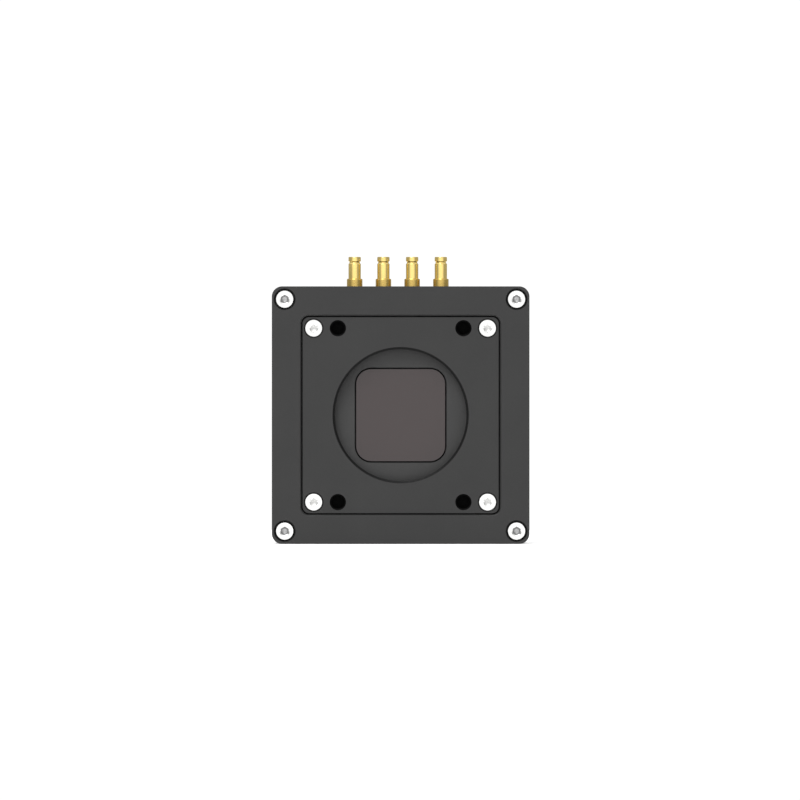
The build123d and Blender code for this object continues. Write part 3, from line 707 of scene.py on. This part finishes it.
def polygon(bm, sides, radius, depth, turn=0):
    """A loop of edges with equal sides across the Y axis, in millimetres and degrees."""
    made = bmesh.ops.create_circle(bm, cap_ends=False, segments=sides, radius=radius * MM)["verts"]
    bmesh.ops.rotate(bm, verts=made, cent=(0, 0, 0),
                     matrix=UPRIGHT @ Matrix.Rotation(math.radians(turn), 3, "Z"))
    bmesh.ops.translate(bm, verts=made, vec=(0, depth * MM, 0))
    return list(dict.fromkeys(e for v in made for e in v.link_edges))


print("ready to turn")

# %% [markdown]
# ### Screws
# A socket-head screw is a turned blank with a six-sided recess. The recess could be cut with a
# boolean, which leaves long thin faces. Here the blank is spun down to the round rim of the recess,
# and bridging that rim to a six-sided loop makes the small lead-in that a real socket has. Below
# the flat walls lies a ledge, and in its middle the cone that the drill leaves. The recess carries
# painted shade: dark on the walls and the ledge of the corner screws with a lighter cone, and one
# lighter grey all over in the plate screws.


# %% A helper for socket screws
LEAD_IN = 0.18
LEDGE = 0.55


def extruded(bm, edges):
    """Extrudes edges where they are, and gives the new corners and the new edges."""
    made = bmesh.ops.extrude_edge_only(bm, edges=edges)["geom"]
    return only(bmesh.types.BMVert, made), only(bmesh.types.BMEdge, made)


def socket_screw(bm, outline, rim, across_flats, depth, bottom):
    """Spins a screw's outline, which ends at the recess's rim, and sinks a hexagon there."""
    hexagon_at = rim + LEAD_IN
    spun(bm, outline, 48)
    rim_edges = [e for e in bm.edges if e.is_boundary]
    hexagon = polygon(bm, 6, across_flats / math.sqrt(3), hexagon_at)
    bmesh.ops.bridge_loops(bm, edges=rim_edges + hexagon)
    outside = set(bm.faces)
    low, ends = extruded(bm, hexagon)
    bmesh.ops.translate(bm, verts=low, vec=(0, depth * MM, 0))
    inner, ends = extruded(bm, ends)
    bmesh.ops.scale(bm, verts=inner, vec=(LEDGE, 1, LEDGE))
    bmesh.ops.translate(bm, verts=inner, vec=(0, bottom / 2 * MM, 0))
    walled = set(bm.faces)
    point, ends = extruded(bm, ends)
    bmesh.ops.pointmerge(bm, verts=point, merge_co=(0, (hexagon_at + depth + bottom) * MM, 0))
    # The head keeps the steel. The walls and the ledge take the second finish and the cone the
    # third, both painted shade.
    for face in bm.faces:
        face.material_index = 0 if face in outside else 1 if face in walled else 2
    bmesh.ops.recalc_face_normals(bm, faces=bm.faces)


print("ready to make screws")

# %% The screws at the corners
HEAD_SEAT = 2.5
bm = bmesh.new()
socket_screw(bm, [(0, 45), (1.1, 45), (1.5, 44.6), (1.5, 0.2), (1.7, 0), (2.6, 0), (2.68, -0.1),
                  (2.68, -2.96), (2.64, -3.0), (1.66, -3.0)],
             rim=-3.0, across_flats=2.5, depth=1.5, bottom=0.4)
at_places(bm, corners(CORNER_SCREWS, HEAD_SEAT, CORNER_SCREWS))
screws = put("corner_screws_turned", bm, CORNER_STEEL, ["front_corner_screws"],
             others=(SOCKET_WALL_SHADE, SOCKET_CONE_SHADE))
print(screws.name, len(screws.data.polygons), "faces")

# %% The screws of the plate
BELOW_FLUSH = 0.05
bm = bmesh.new()
socket_screw(bm, [(0, 10), (1.1, 10), (1.5, 9.6), (1.5, 1.35), (2.6, 0.12), (2.61, 0.03),
                  (2.58, 0.0), (1.3, 0.0)],
             rim=0.0, across_flats=2.0, depth=1.1, bottom=0.3)
at_places(bm, corners(PLATE_SCREWS, BELOW_FLUSH, PLATE_SCREWS))
screws = put("plate_screws_turned", bm, PLATE_STEEL, ["mount_plate_screws"],
             others=(PLATE_SOCKET_SHADE, PLATE_SOCKET_SHADE))
print(screws.name, len(screws.data.polygons), "faces")

# %% [markdown]
# ### Threads
# A thread's ridge is a small trapezium that winds up the bore. Plain rings would pass from straight
# ahead, but not from an angle. Spinning the trapezium with a step along the axis, a pitch for each
# turn, gives a true helix. Its root stands a hair inside the wall, so no gap shows.


# %% A helper for threads
RIDGE_HEIGHT, HALF_ROOT, HALF_CREST = 0.54, 0.42, 0.08
SUNK = 0.02


def thread(name, radius, pitch, start, end, steps, places, material, turn=None):
    """Winds a ridge inside a bore of that radius, from one depth to another, in millimetres."""
    root_at, crest_at = radius + SUNK, radius - RIDGE_HEIGHT * pitch
    root, crest = pitch * HALF_ROOT, pitch * HALF_CREST
    bm = bmesh.new()
    shape = [(root_at, -root), (crest_at, -crest), (crest_at, crest), (root_at, root)]
    face = bm.faces.new([bm.verts.new((r * MM, (start + pitch / 2 + y) * MM, 0)) for r, y in shape])
    turns = (end - start) / pitch - 1
    count = int(turns * steps)
    bmesh.ops.spin(bm, geom=face.verts[:] + face.edges[:] + [face], cent=(0, 0, 0), axis=(0, 1, 0),
                   dvec=(0, pitch / steps * MM, 0), angle=math.tau * count / steps, steps=count)
    bmesh.ops.holes_fill(bm, edges=[e for e in bm.edges if e.is_boundary], sides=0)
    bmesh.ops.recalc_face_normals(bm, faces=bm.faces)
    if turn:
        bmesh.ops.rotate(bm, verts=bm.verts, cent=(0, 0, 0), matrix=turn)
    at_places(bm, places)
    made = put(name, bm, material)
    print(name, round(turns, 1), "turns,", len(made.data.polygons), "faces")


print("ready to cut threads")

# %% Threads in the holes
# The ridges carry painted shade: nearly black in the lens, bracket and tripod holes, and black in
# the adapter holes.
thread("lens_thread_ridges", radius=THREAD_RADIUS, pitch=1.0, start=0.3, end=4.9, steps=120,
       places=[(0, 0, 0)], material=BORE_PAINTED_SHADE)
thread("adapter_hole_threads", radius=2.5, pitch=0.8, start=0.3, end=4.9, steps=24,
       places=corners(ADAPTER_X, 0, ADAPTER_Z), material=DEEP_PAINTED_SHADE)
thread("bracket_hole_threads", radius=2.05, pitch=0.7, start=-5.8, end=-0.3, steps=24,
       places=[(20, 6.2, 40), (-20, 6.2, 40)], material=BORE_PAINTED_SHADE, turn=UPRIGHT)
thread("tripod_hole_threads", radius=3.175, pitch=1.27, start=0.3, end=6.3, steps=28,
       places=[(0, 29, -40)], material=BORE_PAINTED_SHADE, turn=UPRIGHT)

# %% [markdown]
# ### Hole bottoms
# From the front the adapter holes look like black dots, because their small deep threads are full
# of shade. What closes these holes is the frame behind the plate, which is blasted and too light. So
# a thin black cup of painted shade lines each hole behind the ridges and covers its bottom, and the
# ridges are painted black as well.

# %% Cups in the adapter holes
bm = bmesh.new()
spun(bm, [(2.498, 0.25), (2.498, 4.99), (0, 4.99), (0, 4.93), (2.46, 4.93), (2.46, 0.25),
          (2.498, 0.25)], 42)
bmesh.ops.recalc_face_normals(bm, faces=bm.faces)
at_places(bm, corners(ADAPTER_X, 0, ADAPTER_Z))
cups = put("adapter_hole_shade_cups", bm, DEEP_PAINTED_SHADE)
print(cups.name, len(cups.data.polygons), "faces")

# %% [markdown]
# ### The jacks
# Each jack's shell is turned: a collar, a barrel, and a groove below the head that a plug latches
# into. The groove's lower flank faces up and shines, and its upper flank faces down and draws a
# dark line. The outline runs up the outside, over the rounded lip and down the bore. Below the
# collar the shell is a square flange with four legs. A boolean could join the two, but bridging a
# square loop to each end of the spun wall gives one closed skin with clean faces.

# %% The jacks' shells
JACK_Y, SHELL_Z, CONTACT_Z = 38, 35, 33.5
FLANGE_WIDTH, FLANGE_BOTTOM = 6.4, -1.5
SATIN_BELOW = 7.75
COLLAR = [(2.45, 0), (2.45, 7.42), (2.4, 7.57), (2.3, 7.65), (2.1, 7.67), (2.0, 7.7)]
BARREL = [(1.95, 7.8), (1.95, 12.3), (1.92, 12.38)]
GROOVE = [(1.68, 12.56), (1.66, 12.62), (1.66, 12.98), (1.68, 13.02), (1.91, 13.14)]
HEAD = [(1.95, 13.18), (1.95, 14.3), (1.89, 14.47), (1.76, 14.55), (1.5, 14.55), (1.4, 14.51)]
BORE_WALL = [(1.35, 14.42), (1.35, FLANGE_BOTTOM)]


def loop_at(bm, depth):
    """The open edges that lie at a depth along Y, in millimetres."""
    return [e for e in bm.edges if len(e.link_faces) < 2
            and all(abs(v.co.y - depth * MM) < 0.01 * MM for v in e.verts)]


def jack_shell(x):
    """A jack's shell at a place sideways, in millimetres, made along Y and then stood up."""
    bm = bmesh.new()
    spun(bm, COLLAR + BARREL + GROOVE + HEAD + BORE_WALL, 64)
    low = polygon(bm, 4, FLANGE_WIDTH / math.sqrt(2), FLANGE_BOTTOM, turn=45)
    high = polygon(bm, 4, FLANGE_WIDTH / math.sqrt(2), 0, turn=45)
    bmesh.ops.bridge_loops(bm, edges=loop_at(bm, FLANGE_BOTTOM))
    bmesh.ops.bridge_loops(bm, edges=loop_at(bm, 0))
    bmesh.ops.bridge_loops(bm, edges=low + high)
    # The collar and the flange take the satin gold, whose darker colour is painted shade.
    for face in bm.faces:
        face.material_index = 1 if face.calc_center_median().y < SATIN_BELOW * MM else 0
    for leg_x, leg_y, leg_z in corners(2.2, -3.5, 1.3):
        leg = bmesh.ops.create_cube(bm, size=1 * MM)["verts"]
        bmesh.ops.scale(bm, verts=leg, vec=(1, 4, 1))
        bmesh.ops.translate(bm, verts=leg, vec=(leg_x * MM, leg_y * MM, leg_z * MM))
    bmesh.ops.recalc_face_normals(bm, faces=bm.faces)
    bmesh.ops.rotate(bm, verts=bm.verts, cent=(0, 0, 0), matrix=UPRIGHT)
    bmesh.ops.translate(bm, verts=bm.verts, vec=Vector((x, JACK_Y, SHELL_Z)) * MM)
    return bm


for number, x in enumerate(JACKS_X, 1):
    shell = put(f"coax_jack_{number}_turned", jack_shell(x), GOLD, [f"coax_jack_{number}"],
                others=(SATIN_GOLD_PAINTED_SHADE,))
print("four jacks, each", len(shell.data.polygons), "faces")

# %% [markdown]
# ### The centre contacts
# In the middle of each jack stands a thin contact with a small hole in its rounded end, which takes
# the plug's pin. Drilling that hole with a boolean would cost many faces, so the profile simply
# turns back into the end and down to the hole's floor.


# %% The jacks' centre contacts
def jack_contact(x):
    """A jack's contact at a place sideways, in millimetres, made along Y and then stood up."""
    bm = bmesh.new()
    spun(bm, [(0, -2.4), (0.3, -2.5), (0.45, -2.35), (0.45, 14.65), (0.4, 14.8), (0.3, 14.85),
              (0.26, 14.75), (0.25, 12.6), (0, 12.4)], 24)
    bmesh.ops.recalc_face_normals(bm, faces=bm.faces)
    bmesh.ops.rotate(bm, verts=bm.verts, cent=(0, 0, 0), matrix=UPRIGHT)
    bmesh.ops.translate(bm, verts=bm.verts, vec=Vector((x, JACK_Y, CONTACT_Z)) * MM)
    return bm


for number, x in enumerate(JACKS_X, 1):
    put(f"coax_contact_{number}_turned", jack_contact(x), GOLD, [f"coax_contact_{number}"])
print("four centre contacts")

# %% [markdown]
# ### The receptacle
# The power and trigger receptacle has a round barrel with a keyway in its mouth, held by a
# six-sided flange. The barrel is spun with its mouth's edges broken, and pushing a few columns of
# the bore outwards makes the keyway. A hexagon and a chamfer could be two more cuts. Here the
# flange starts as a spun disc: each corner of the mesh is pulled out to the hexagon's outline, and
# the outer corners drop by how far they stand out, as the chamfer cone of a real nut does.

# %% The receptacle's barrel
RECEPTACLE_X, RECEPTACLE_Z = 18, -21
MOUTH_RADIUS = 4.6
KEYWAY_FLOOR, HALF_KEYWAY = 5.2, 0.7
bm = bmesh.new()
spun(bm, [(4.1, 47), (5.85, 47), (6, 47.15), (6, 56.15), (5.8, 56.4), (4.8, 56.4),
          (MOUTH_RADIUS, 56.2), (MOUTH_RADIUS, 50.4), (4.1, 50.4), (4.1, 47)], 96)
for vert in bm.verts:
    reach = math.hypot(vert.co.x, vert.co.z) / MM
    in_mouth = 4.5 < reach < 5 and vert.co.y > 50.3 * MM
    if in_mouth and abs(vert.co.x) < HALF_KEYWAY * MM and vert.co.z > 0:
        vert.co.z = (KEYWAY_FLOOR + (reach - MOUTH_RADIUS) * 0.5) * MM
barrel = set(bm.verts)
print("barrel with", len(barrel), "corners")

# %% The receptacle's hexagon
HALF_ACROSS_FLATS = 7.5
CHAMFER_FROM = 7.2
spun(bm, [(5.9, 52.2), (8, 52.2), (8, 54.4), (CHAMFER_FROM, 54.4), (5.9, 54.4), (5.9, 52.2)], 72)
for vert in set(bm.verts) - barrel:
    if math.hypot(vert.co.x, vert.co.z) > HALF_ACROSS_FLATS * MM:
        angle = math.atan2(vert.co.z, vert.co.x)
        reach = HALF_ACROSS_FLATS / math.cos(math.radians(math.degrees(angle) % 60 - 30))
        vert.co.x, vert.co.z = reach * MM * math.cos(angle), reach * MM * math.sin(angle)
        if vert.co.y > 54 * MM:
            vert.co.y -= (reach - CHAMFER_FROM) * math.tan(math.radians(30)) * MM
bmesh.ops.recalc_face_normals(bm, faces=bm.faces)
bmesh.ops.translate(bm, verts=bm.verts, vec=Vector((RECEPTACLE_X, 0, RECEPTACLE_Z)) * MM)
shell = put("receptacle_shell_turned", bm, NICKEL, ["receptacle_shell"])
print(shell.name, len(shell.data.polygons), "faces")

# %% [markdown]
# ### The receptacle's contact ends
# Twelve contacts end in round sleeves in the receptacle's insert, in rows of two, four, four and
# two. One sleeve is spun and copied, which keeps all twelve alike.

# %% The receptacle's contact ends
INSERT_FACE = 50.4
CONTACT_PITCH = 1.9
bm = bmesh.new()
spun(bm, [(0.26, -0.02), (0.3, 0.16), (0.42, 0.16), (0.48, 0.08), (0.48, -0.02), (0.26, -0.02)], 20)
bmesh.ops.recalc_face_normals(bm, faces=bm.faces)
rows = ((2, 1.5), (4, 0.5), (4, -0.5), (2, -1.5))
places = [(RECEPTACLE_X + (k - (count - 1) / 2) * CONTACT_PITCH, INSERT_FACE,
           RECEPTACLE_Z + level * CONTACT_PITCH) for count, level in rows for k in range(count)]
at_places(bm, places)
ends = put("receptacle_contact_ends", bm, GOLD)
print(len(places), "contact ends")

# %% [markdown]
# ## The floor
# A plain pale floor carries the camera. It isn't part of the object. It glows a little, so that it
# stays as white as the backdrop where the camera's own shadow would grey it.

# %% The floor
FLOOR_GAP = 0.00002
bm = bmesh.new()
bmesh.ops.create_grid(bm, x_segments=1, y_segments=1, size=0.45)
bmesh.ops.translate(bm, verts=bm.verts, vec=(0, 0, cad_box[0].z - FLOOR_GAP))
FLOOR, tree, shader, where = finish("pale_floor", (0.93, 0.93, 0.93), 0.0, 0.9,
                                    Emission_Color=(1, 1, 1, 1), Emission_Strength=0.4)
tree.links.new(tint(tree, noise(tree, where, 30, 2.0), (0.92, 0.92, 0.92), (0.94, 0.94, 0.94)),
               shader.inputs["Base Color"])
mesh = bpy.data.meshes.new("floor")
bm.to_mesh(mesh)
bm.free()
mesh.materials.append(FLOOR)
floor = bpy.data.objects.new("floor", mesh)
bpy.context.scene.collection.objects.link(floor)
print("floor at", round(cad_box[0].z / MM, 2), "mm")

# %% [markdown]
# ## The imported box
# The imported model's box is printed, since the dressed model is meant to fill the same box.

# %% Print the imported box
print("cad", [round(v / MM, 2) for v in (*cad_box[0], *cad_box[1])])
